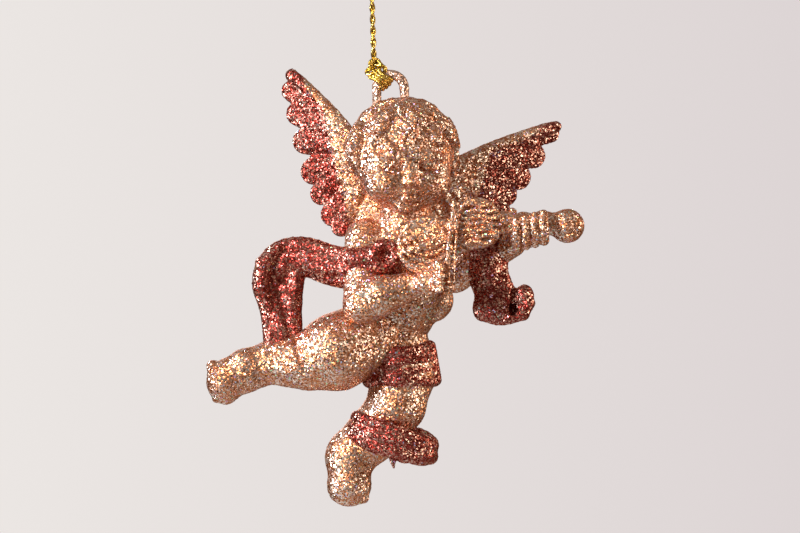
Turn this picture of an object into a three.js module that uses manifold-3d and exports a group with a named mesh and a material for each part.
// Hanging cherub ornament: a resin angel with a violin, hung by a metallic cord tied through a moulded eye.
// Millimetres, +Z up, +X to the viewer's right, -Y towards the viewer. The origin is the hanging point,
// under the crown of the cord's top loop. "Right" and "left" in the names are the angel's own.
import * as THREE from 'three';
import { mergeVertices } from 'three/addons/utils/BufferGeometryUtils.js';
import Module from 'manifold-3d';

const wasm = await Module();
wasm.setup();

// ---- driving dimensions ----
const CORD_DROP = 38; // from the hanging point down to the figure's own origin, at the top of its knot
const GAP = 0.3; // between neighbouring castings
const SIDES = 10; // facets round a limb
const FINE_SIDES = 6; // facets round a finger, a toe or an ear

const STRAND_RADIUS = 0.35; // one strand of the cord; two lie twisted together below the top loop
const PAIR_RADIUS = 2 * STRAND_RADIUS;
const TOP_LOOP = { halfWidth: 5.2, halfHeight: 7.6 }; // centreline of the loop that goes over a twig

const EYE = { x: 3.6, z: -6.6, radius: 3.1, wire: 1.15, legDepth: 6.2 }; // arch-shaped eye on the crown
const HITCH_ANGLE = THREE.MathUtils.degToRad(135); // where round the eye the cord is tied
const BIGHT = { radius: 2.15, wire: 0.45 }; // the turn of cord that goes round the eye's wire
const KNOT = { at: [0.5, 0, -2.2], r: [2.5, 2.2, 2.2] };
const FLEX_GAP = 0.6; // bare stretch above the knot, where the limp cord bends
const SWING_LIMIT_DEG = 40; // how far the figure swings to the front and to the back

// Joints of the body, each [x, y, z] with the radius of the flesh there.
const BODY = {
  skull: { at: [6.0, 0.4, -21.4], r: [13.2, 12.4, 12.9] },
  face: { at: [7.0, -3.6, -26.6], r: [10.2, 9.0, 9.1] },
  neck: { at: [6.4, 2.2, -34.0], r: 5.2 },
  collar: { at: [6.0, 3.2, -39.5], r: 6.0 },
  chest: { at: [6.0, 3.4, -44.5], r: [10.3, 6.8, 8.2] },
  belly: { at: [5.6, 1.6, -53.5], r: [9.8, 7.8, 7.6] },
  pelvis: { at: [2.8, 3.0, -60.0], r: [9.0, 7.8, 6.6] },
  buttock: { at: [11.4, 3.6, -55.6], r: 5.2 },
  rightShoulder: { at: [-3.2, 1.4, -41.0], r: 4.8 },
  rightElbow: { at: [-4.0, -5.6, -56.2], r: 4.4 },
  rightWrist: { at: [7.6, -10.4, -52.4], r: 3.2 },
  rightPalm: { at: [12.0, -13.0, -51.6], r: [3.6, 2.8, 3.2] },
  leftShoulder: { at: [15.4, 4.4, -41.0], r: 4.9 },
  leftElbow: { at: [22.4, 5.0, -45.6], r: 4.0 },
  leftWrist: { at: [30.2, -4.8, -43.4], r: 3.0 },
  leftPalm: { at: [33.0, -8.8, -41.2], r: [4.0, 3.4, 3.6] },
  rightHip: { at: [0.0, 0.8, -63.0], r: 9.4 },
  rightKnee: { at: [-10.6, -3.2, -65.0], r: 8.9 },
  rightCalf: { at: [-13.6, -2.6, -68.4], r: 6.4 },
  rightAnkle: { at: [-26.6, -1.0, -69.4], r: 4.2 },
  rightToes: { at: [-37.0, -2.2, -73.0], r: [3.4, 3.4, 5.2] },
  leftHip: { at: [3.0, 3.4, -63.6], r: 7.4 },
  leftThigh: { at: [4.2, 3.0, -72.0], r: 7.8 },
  leftKnee: { at: [0.8, 1.6, -81.4], r: 7.0 },
  leftCalf: { at: [-3.4, 3.0, -86.6], r: 6.3 },
  leftAnkle: { at: [-8.5, 3.2, -91.8], r: 5.0 },
  leftToes: { at: [-8.9, 1.4, -98.0], r: [4.7, 3.6, 4.2] },
  rightSole: { at: [-37.0, -2.2, -73.0], r: 3.1 },
  leftSole: { at: [-8.9, 1.4, -98.0], r: 3.3 },
  nose: { at: [8.9, -13.0, -26.4], r: 1.5 },
  rightEar: { at: [-6.6, -0.6, -24.4], r: [1.6, 2.0, 2.8] },
  leftEar: { at: [19.0, -0.6, -24.4], r: [1.6, 2.0, 2.8] },
};

// Rows of four fingers: the middle of their knuckles and of their tips, and the step from one to the next.
const RIGHT_FINGERS = {
  knuckle: [13.6, -15.4, -50.4],
  tip: [15.2, -18.6, -50.6],
  step: [0.2, -0.1, 1.55],
  r: 0.95,
};
const LEFT_FINGERS = {
  knuckle: [33.2, -12.4, -43.0],
  tip: [33.2, -14.6, -37.9],
  step: [1.95, 0, -0.1],
  r: 1.2,
};
const FINGERS = 4;
const FINGER_TAPER = 0.9;

// Rows of toes: the first one, the step to the next, and each one's radius.
const RIGHT_TOES = {
  first: [-39.4, -2.6, -69.6],
  step: [-0.25, -0.1, -1.75],
  radii: [1.4, 1.25, 1.15, 1.1, 1.0],
};
const LEFT_TOES = {
  first: [-12.3, 0.8, -100.4],
  step: [1.75, -0.05, -0.2],
  radii: [1.0, 1.1, 1.15, 1.25, 1.4],
};

// The violin's body lies between its button and its shoulder end, with its face turned up a little. Its neck
// bends down from there to the ball that stands for the scroll.
const VIOLIN = {
  button: [4.2, -11.0, -45.2],
  shoulderEnd: [28.4, -12.0, -37.8],
  scroll: [42.7, -12.4, -39.7],
  scrollRadius: 3.9,
  lowerHalf: 6.8,
  waistHalf: 4.3,
  upperHalf: 5.5,
  thickness: 3.8,
  neckHalf: 1.9,
  tilt: THREE.MathUtils.degToRad(6),
};
const NECK_TAPER = 1.15; // how much thicker the violin's neck is at the scroll
const BOW = {
  stick: [{ at: [14.9, -17.2, -53.6], r: 0.8 }, { at: [17.4, -15.0, -31.6], r: 0.64 }],
  frog: { at: [15.1, -17.1, -52.3], r: [1.3, 1.2, 1.8] },
};

// Wings: corner points of each blade. A blade runs from its shoulder to its tip, and hangs down to its heel.
const WING_THICKNESS = 2.0;
const WING_FEATHERS = 7;
const RIGHT_WING = { shoulder: [-1.6, 9.4, -22.0], tip: [-20.0, 15.4, -0.9], heel: [-5.0, 9.6, -41.4] };
const LEFT_WING = { shoulder: [15.4, 10.0, -25.2], tip: [43.0, 18.0, -15.2], heel: [15.0, 12.4, -39.0] };

// Ribbons: [x, y, z] points of each centreline, and the ribbon's half-width and half-depth.
const SCARF_LOOP = {
  line: [
    [2.6, -6.4, -46.9], [-4.0, -5.9, -47.6], [-10.5, -3.6, -46.6], [-17.0, -1.8, -45.0],
    [-22.2, -1.0, -46.2], [-25.0, -0.6, -50.4], [-24.4, -0.8, -55.4], [-23.2, -1.2, -60.6],
    [-22.6, -1.4, -66.4],
  ],
  halfWidth: 4.6,
  halfDepth: 3.9,
};
const SCARF_TAIL = {
  line: [
    [24.0, -4.6, -41.6], [25.0, -4.4, -48.0], [25.4, -4.2, -54.0], [27.6, -4.0, -58.4],
    [30.8, -4.0, -58.6], [32.4, -4.4, -54.8],
  ],
  halfWidth: 3.8,
  halfDepth: 3.0,
};
const THIGH_SASH = { at: [3.6, 3.0, -70.2], halfHeight: 4.2, radius: 8.6, thickness: 2.4, lean: 0.22 };
const KNEE_SASH = {
  wrap: { at: [-2.2, 3.0, -86.6], r: [8.2, 8.6, 4.6] },
  fold: { at: [5.6, 0.8, -88.6], r: [6.2, 5.6, 4.4] },
};

// ---- solids ----
const vector = (p) => new THREE.Vector3(...p);

function solid(geometry, matrix) {
  const loose = geometry.index ? geometry.toNonIndexed() : geometry;
  const bare = new THREE.BufferGeometry();
  bare.setAttribute('position', loose.getAttribute('position').clone());
  if (matrix) bare.applyMatrix4(matrix);
  const merged = mergeVertices(bare, 1e-4);
  const corners = merged.index.array;
  const triVerts = [];
  for (let i = 0; i < corners.length; i += 3) {
    const [a, b, c] = [corners[i], corners[i + 1], corners[i + 2]];
    if (a !== b && b !== c && c !== a) triVerts.push(a, b, c);
  }
  return new wasm.Manifold(new wasm.Mesh({
    numProp: 3,
    vertProperties: merged.attributes.position.array,
    triVerts: new Uint32Array(triVerts),
  }));
}

// Joins solids, and cuts tools from a solid.
const join = (...solids) => solids.reduce((whole, next) => whole.add(next));
const cut = (body, ...tools) => tools.reduce((left, tool) => left.subtract(tool), body);

// The largest body of a cut solid, without the crumbs that a cut leaves.
const largest = (cutSolid) => cutSolid.decompose().reduce((a, b) => (a.volume() > b.volume() ? a : b));

function ball(joint, grow = 0, sides = SIDES + 2) {
  const r = Array.isArray(joint.r) ? joint.r : [joint.r, joint.r, joint.r];
  const scale = new THREE.Vector3(...r).addScalar(grow);
  const place = new THREE.Matrix4().compose(vector(joint.at), new THREE.Quaternion(), scale);
  return solid(new THREE.SphereGeometry(1, sides, Math.ceil(0.6 * sides)), place);
}

// A turned shape from a profile of [radius, height] pairs, with its axis from one point towards another.
function turned(profile, from, to, sides = SIDES) {
  const axis = vector(to).sub(vector(from)).normalize();
  const turn = new THREE.Quaternion().setFromUnitVectors(new THREE.Vector3(0, 1, 0), axis);
  const place = new THREE.Matrix4().compose(vector(from), turn, new THREE.Vector3(1, 1, 1));
  return solid(new THREE.LatheGeometry(profile.map(([r, h]) => new THREE.Vector2(r, h)), sides), place);
}

// A limb that tapers from one round joint to the next.
function limb(a, b, grow = 0, sides = SIDES) {
  const length = vector(a.at).distanceTo(vector(b.at));
  const [ra, rb] = [a.r + grow, b.r + grow];
  const slope = Math.asin((ra - rb) / length);
  const steps = 2;
  const profile = [];
  for (let i = 0; i <= steps; i++) {
    const angle = THREE.MathUtils.lerp(-Math.PI / 2, slope, i / steps);
    profile.push([i === 0 ? 0 : ra * Math.cos(angle), ra * Math.sin(angle)]);
  }
  for (let i = 0; i <= steps; i++) {
    const angle = THREE.MathUtils.lerp(slope, Math.PI / 2, i / steps);
    profile.push([i === steps ? 0 : rb * Math.cos(angle), length + rb * Math.sin(angle)]);
  }
  return turned(profile, a.at, b.at, sides);
}

// A ribbon or a tube: an oval section carried along a smooth line.
// Its section has twice as many corners as the curve segments asked for.
function sweep(points, halfDepth, halfWidth, { steps, curveSegments = 5, grow = 0 }) {
  const section = new THREE.Shape().absellipse(0, 0, halfDepth + grow, halfWidth + grow, 0, 2 * Math.PI);
  const line = new THREE.CatmullRomCurve3(points.map(vector));
  return solid(new THREE.ExtrudeGeometry(section, { steps, curveSegments, extrudePath: line }));
}

// ---- cord ----
function cordTopLoop() {
  const { halfWidth, halfHeight } = TOP_LOOP;
  const wide = halfWidth / halfHeight;
  const ring = new THREE.TorusGeometry(halfHeight, STRAND_RADIUS, 6, 24);
  const place = new THREE.Matrix4()
    .makeTranslation(0, 0, -halfHeight + STRAND_RADIUS)
    .multiply(new THREE.Matrix4().makeScale(wide, 1, 1))
    .multiply(new THREE.Matrix4().makeRotationX(Math.PI / 2));
  return solid(ring, place);
}

function cordStrands() {
  const top = -2 * TOP_LOOP.halfHeight - GAP;
  const bottom = -CORD_DROP + KNOT.at[2] + KNOT.r[2] + FLEX_GAP;
  return sweep([[0, 0, top], [0, 0, (top + bottom) / 2], [0, 0, bottom]], PAIR_RADIUS, PAIR_RADIUS, {
    steps: 6,
    curveSegments: 4,
  });
}

const hitchPoint = [
  EYE.x + EYE.radius * Math.cos(HITCH_ANGLE),
  0,
  EYE.z + EYE.radius * Math.sin(HITCH_ANGLE),
];

function cordKnot(grow = 0) {
  return ball(KNOT, grow, SIDES);
}

function cordHitch() {
  const bight = new THREE.TorusGeometry(BIGHT.radius, BIGHT.wire, 6, 12);
  const wireRun = new THREE.Vector3(Math.sin(HITCH_ANGLE), 0, -Math.cos(HITCH_ANGLE));
  const turn = new THREE.Quaternion().setFromUnitVectors(new THREE.Vector3(0, 0, 1), wireRun);
  const place = new THREE.Matrix4().compose(vector(hitchPoint), turn, new THREE.Vector3(1, 1, 1));
  return solid(bight, place);
}

// ---- hanging eye ----
function hangingEye(grow = 0) {
  const wire = EYE.wire + grow;
  const left = EYE.x - EYE.radius;
  const right = EYE.x + EYE.radius;
  const foot = EYE.z - EYE.legDepth;
  const arch = new THREE.CurvePath();
  const points = [[left, 0, foot], [left, 0, (foot + EYE.z) / 2]];
  const turns = 6;
  for (let i = 0; i <= turns; i++) {
    const angle = Math.PI * (1 - i / turns);
    points.push([EYE.x + EYE.radius * Math.cos(angle), 0, EYE.z + EYE.radius * Math.sin(angle)]);
  }
  points.push([right, 0, (foot + EYE.z) / 2], [right, 0, foot]);
  arch.add(new THREE.CatmullRomCurve3(points.map(vector)));
  const section = new THREE.Shape().absarc(0, 0, wire, 0, 2 * Math.PI);
  return solid(new THREE.ExtrudeGeometry(section, { steps: 14, curveSegments: 4, extrudePath: arch }));
}

function eyeSwungBy(degrees) {
  const [x, y, z] = hitchPoint;
  return hangingEye(GAP).translate([-x, -y, -z]).rotate([degrees, 0, 0]).translate([x, y, z]);
}

// ---- angel ----
function head(grow = 0) {
  const small = [BODY.nose, BODY.rightEar, BODY.leftEar].map((part) => ball(part, grow, FINE_SIDES));
  return join(ball(BODY.skull, grow), ball(BODY.face, grow), ...small);
}

function torso(grow = 0) {
  const masses = [BODY.chest, BODY.belly, BODY.pelvis, BODY.buttock].map((part) => ball(part, grow));
  return join(limb(BODY.neck, BODY.collar, grow), ...masses);
}

// A chain of limbs through a list of joints.
function chain(joints, grow) {
  return join(...joints.slice(1).map((joint, i) => limb(joints[i], joint, grow)));
}

// Fingers side by side, each from a knuckle to its tip.
function fingers({ knuckle, tip, step, r }, grow) {
  const each = [];
  for (let i = 0; i < FINGERS; i++) {
    const shift = vector(step).multiplyScalar(i - (FINGERS - 1) / 2);
    const a = { at: vector(knuckle).add(shift).toArray(), r };
    const b = { at: vector(tip).add(shift).toArray(), r: r * FINGER_TAPER };
    each.push(limb(a, b, grow, FINE_SIDES));
  }
  return join(...each);
}

function rightArm(grow = 0) {
  const arm = chain([BODY.rightShoulder, BODY.rightElbow, BODY.rightWrist], grow);
  return join(arm, ball(BODY.rightPalm, grow), fingers(RIGHT_FINGERS, grow));
}

function leftArm(grow = 0) {
  const arm = chain([BODY.leftShoulder, BODY.leftElbow, BODY.leftWrist], grow);
  return join(arm, ball(BODY.leftPalm, grow), fingers(LEFT_FINGERS, grow));
}

function toes({ first, step, radii }, grow) {
  const at = (i) => vector(first).addScaledVector(vector(step), i).toArray();
  return join(...radii.map((r, i) => ball({ at: at(i), r }, grow, FINE_SIDES)));
}

function rightLeg(grow = 0) {
  const { rightHip, rightKnee, rightCalf, rightAnkle, rightSole, rightToes } = BODY;
  const leg = chain([rightHip, rightKnee, rightCalf, rightAnkle, rightSole], grow);
  return join(leg, ball(rightToes, grow), toes(RIGHT_TOES, grow));
}

function leftLeg(grow = 0) {
  const { leftHip, leftThigh, leftKnee, leftCalf, leftAnkle, leftSole, leftToes } = BODY;
  const leg = chain([leftHip, leftThigh, leftKnee, leftCalf, leftAnkle, leftSole], grow);
  return join(leg, ball(leftToes, grow), toes(LEFT_TOES, grow));
}

// ---- violin ----
// Its own axes: x from the button to the shoulder end, y across the face, z out of the face.
function violinFrame() {
  const along = vector(VIOLIN.shoulderEnd).sub(vector(VIOLIN.button)).normalize();
  const face = new THREE.Vector3(0, -Math.cos(VIOLIN.tilt), Math.sin(VIOLIN.tilt));
  face.addScaledVector(along, -face.dot(along)).normalize();
  const across = new THREE.Vector3().crossVectors(face, along);
  return new THREE.Matrix4().makeBasis(along, across, face).setPosition(vector(VIOLIN.button));
}

// Half of the outline, as Bezier curves between the button, the lower bout, the waist, the upper bout and the
// shoulder end; x is a share of the length. The other half is its mirror image.
function violinOutline(long, lower, waist, upper, grow) {
  const half = [
    [[-grow, lower * 0.75], [long * 0.1, lower], [long * 0.26, lower]],
    [[long * 0.42, lower], [long * 0.38, waist], [long * 0.54, waist]],
    [[long * 0.66, waist], [long * 0.64, upper], [long * 0.8, upper]],
    [[long * 0.95, upper], [long + grow, upper * 0.6], [long + grow, 0]],
  ];
  const outline = new THREE.Shape().moveTo(-grow, 0);
  for (const curve of half) outline.bezierCurveTo(...curve.flat());
  const knots = [[-grow, 0], ...half.flat()].reverse();
  for (let i = 1; i < knots.length; i += 3) {
    const mirrored = knots.slice(i, i + 3).map(([x, y]) => [x, -y]);
    outline.bezierCurveTo(...mirrored.flat());
  }
  return outline;
}

function violinBody(grow = 0) {
  const { button, shoulderEnd, lowerHalf, waistHalf, upperHalf, thickness } = VIOLIN;
  const long = vector(button).distanceTo(vector(shoulderEnd));
  const outline = violinOutline(long, lowerHalf + grow, waistHalf + grow, upperHalf + grow, grow);
  const depth = thickness + 2 * grow;
  const board = new THREE.ExtrudeGeometry(outline, { depth, curveSegments: 5, bevelEnabled: false });
  return solid(board.translate(0, 0, -depth / 2), violinFrame());
}

function violinNeck(grow = 0) {
  const { shoulderEnd, scroll, neckHalf, scrollRadius } = VIOLIN;
  const towardsScroll = vector(scroll).sub(vector(shoulderEnd)).normalize();
  const root = vector(shoulderEnd).addScaledVector(towardsScroll, neckHalf + GAP).toArray();
  const neck = limb({ at: root, r: neckHalf }, { at: scroll, r: neckHalf * NECK_TAPER }, grow);
  return join(neck, ball({ at: scroll, r: scrollRadius }, grow));
}

function bow(grow = 0) {
  return join(limb(...BOW.stick, grow, FINE_SIDES), ball(BOW.frog, grow, FINE_SIDES));
}

// ---- wings ----
// The blade is drawn in shares of its span (u, towards the tip) and of its chord (v, towards the heel).
// Its trailing edge is a row of rounded feathers along a quarter of an oval.
const TRAIL = { span: 0.96, spanPower: 0.7, chord: 1.14, chordPower: 0.9 };
const FEATHER_BULGE = 1.08; // how far each rounded feather end stands out
const FEATHER_PEAK = 0.6; // where along a feather's width its end stands out most

function trailingEdge(feather, bulge = 1) {
  const angle = (feather / WING_FEATHERS) * Math.PI / 2;
  const u = TRAIL.span * Math.cos(angle) ** TRAIL.spanPower;
  const v = TRAIL.chord * Math.sin(angle) ** TRAIL.chordPower;
  return [u * bulge, v * bulge];
}

function wing({ shoulder, tip, heel }) {
  const blade = new THREE.Shape().moveTo(-0.12, 0.25);
  blade.quadraticCurveTo(0.35, -0.06, 1, 0);
  for (let i = 0; i < WING_FEATHERS; i++) {
    blade.quadraticCurveTo(...trailingEdge(i + FEATHER_PEAK, FEATHER_BULGE), ...trailingEdge(i + 1));
  }
  blade.lineTo(-0.16, 0.9);
  const span = vector(tip).sub(vector(shoulder));
  const chord = vector(heel).sub(vector(shoulder));
  const normal = new THREE.Vector3().crossVectors(span, chord).setLength(WING_THICKNESS);
  const frame = new THREE.Matrix4().makeBasis(span, chord, normal).setPosition(vector(shoulder));
  const flat = new THREE.ExtrudeGeometry(blade, { depth: 1, curveSegments: 3, bevelEnabled: false });
  return solid(flat.translate(0, 0, -0.5), frame);
}

// ---- ribbons ----
const scarf = ({ line, halfDepth, halfWidth }, steps, grow = 0) =>
  sweep(line, halfDepth, halfWidth, { steps, grow });

// A band round the thigh, with its edges rounded in and its axis leaning to the side.
function thighSash() {
  const { at, halfHeight, radius, thickness, lean } = THIGH_SASH;
  const inner = radius - thickness;
  const profile = [
    [inner, -halfHeight], [radius - 0.2 * thickness, -halfHeight], [radius, -0.6 * halfHeight],
    [radius, 0.5 * halfHeight], [radius - 0.3 * thickness, halfHeight], [inner, halfHeight],
    [inner, -halfHeight],
  ];
  return turned(profile, at, [at[0] + lean, at[1], at[2] + 1], 14);
}

const kneeSash = () => join(ball(KNEE_SASH.wrap), ball(KNEE_SASH.fold));

// ---- assembly: each casting is cut clear of the ones it is glued against ----
const finishes = {
  champagne: { color: 0xc98f6c, roughness: 0.45, metalness: 0.6 },
  rose: { color: 0x9b3d3a, roughness: 0.45, metalness: 0.6 },
  gold: { color: 0xb8902c, roughness: 0.35, metalness: 0.9 },
};

function piece(name, body, finish) {
  const { vertProperties, triVerts, numProp, numVert } = body.getMesh();
  const positions = new Float32Array(numVert * 3);
  for (let i = 0; i < numVert; i++) {
    positions.set(vertProperties.subarray(i * numProp, i * numProp + 3), i * 3);
  }
  const geometry = new THREE.BufferGeometry();
  geometry.setAttribute('position', new THREE.BufferAttribute(positions, 3));
  geometry.setIndex(new THREE.BufferAttribute(triVerts, 1));
  const mesh = new THREE.Mesh(geometry, new THREE.MeshStandardMaterial(finishes[finish]));
  mesh.name = name;
  return mesh;
}

const clear = {
  eye: hangingEye(GAP),
  head: head(GAP),
  torso: torso(GAP),
  rightArm: rightArm(GAP),
  leftArm: leftArm(GAP),
  rightLeg: rightLeg(GAP),
  leftLeg: leftLeg(GAP),
  violinBody: violinBody(GAP),
  violinNeck: violinNeck(GAP),
  bow: bow(GAP),
};

// The knot and the hitch are cut clear of the eye over its whole swing.
const eyeSwings = [-1, -0.5, 0, 0.5, 1].map((share) => eyeSwungBy(share * SWING_LIMIT_DEG));

const figure = new THREE.Group();
figure.position.z = -CORD_DROP;
figure.add(
  piece('cord_knot', largest(cut(cordKnot(), ...eyeSwings)), 'gold'),
  piece('cord_hitch', largest(cut(cordHitch(), cordKnot(GAP), ...eyeSwings)), 'gold'),
  piece('hanging_eye', hangingEye(), 'champagne'),
  piece('head', largest(cut(head(), clear.eye)), 'champagne'),
  piece('right_arm', largest(cut(rightArm(), clear.bow, clear.violinBody)), 'champagne'),
  piece('left_arm', largest(cut(leftArm(), clear.violinNeck, clear.violinBody)), 'champagne'),
  piece('left_leg', leftLeg(), 'champagne'),
  piece('right_leg', largest(cut(rightLeg(), clear.leftLeg, clear.rightArm)), 'champagne'),
  piece('violin_body', largest(cut(violinBody(), clear.head)), 'champagne'),
  piece('violin_neck', violinNeck(), 'champagne'),
  piece('violin_bow', bow(), 'champagne'),
  piece('torso', largest(cut(
    torso(), clear.head, clear.rightArm, clear.leftArm, clear.rightLeg, clear.leftLeg, clear.violinBody,
  )), 'champagne'),
  piece('scarf_loop', largest(cut(
    scarf(SCARF_LOOP, 20), clear.torso, clear.rightArm, clear.rightLeg, clear.violinBody,
  )), 'rose'),
  piece('scarf_tail', largest(cut(
    scarf(SCARF_TAIL, 12), clear.torso, clear.leftArm, clear.violinBody, clear.violinNeck,
  )), 'rose'),
  piece('thigh_sash', largest(cut(thighSash(), clear.leftLeg, clear.rightLeg, clear.torso)), 'rose'),
  piece('knee_sash', largest(cut(kneeSash(), clear.leftLeg)), 'rose'),
  piece('right_wing', largest(cut(wing(RIGHT_WING), clear.torso, clear.head, clear.rightArm)), 'rose'),
  piece('left_wing', largest(cut(wing(LEFT_WING), clear.torso, clear.head, clear.leftArm)), 'rose'),
);

const ornament = new THREE.Group();
ornament.add(piece('cord_top_loop', cordTopLoop(), 'gold'));
ornament.add(piece('cord_strands', cordStrands(), 'gold'));
ornament.add(figure);

export default ornament;
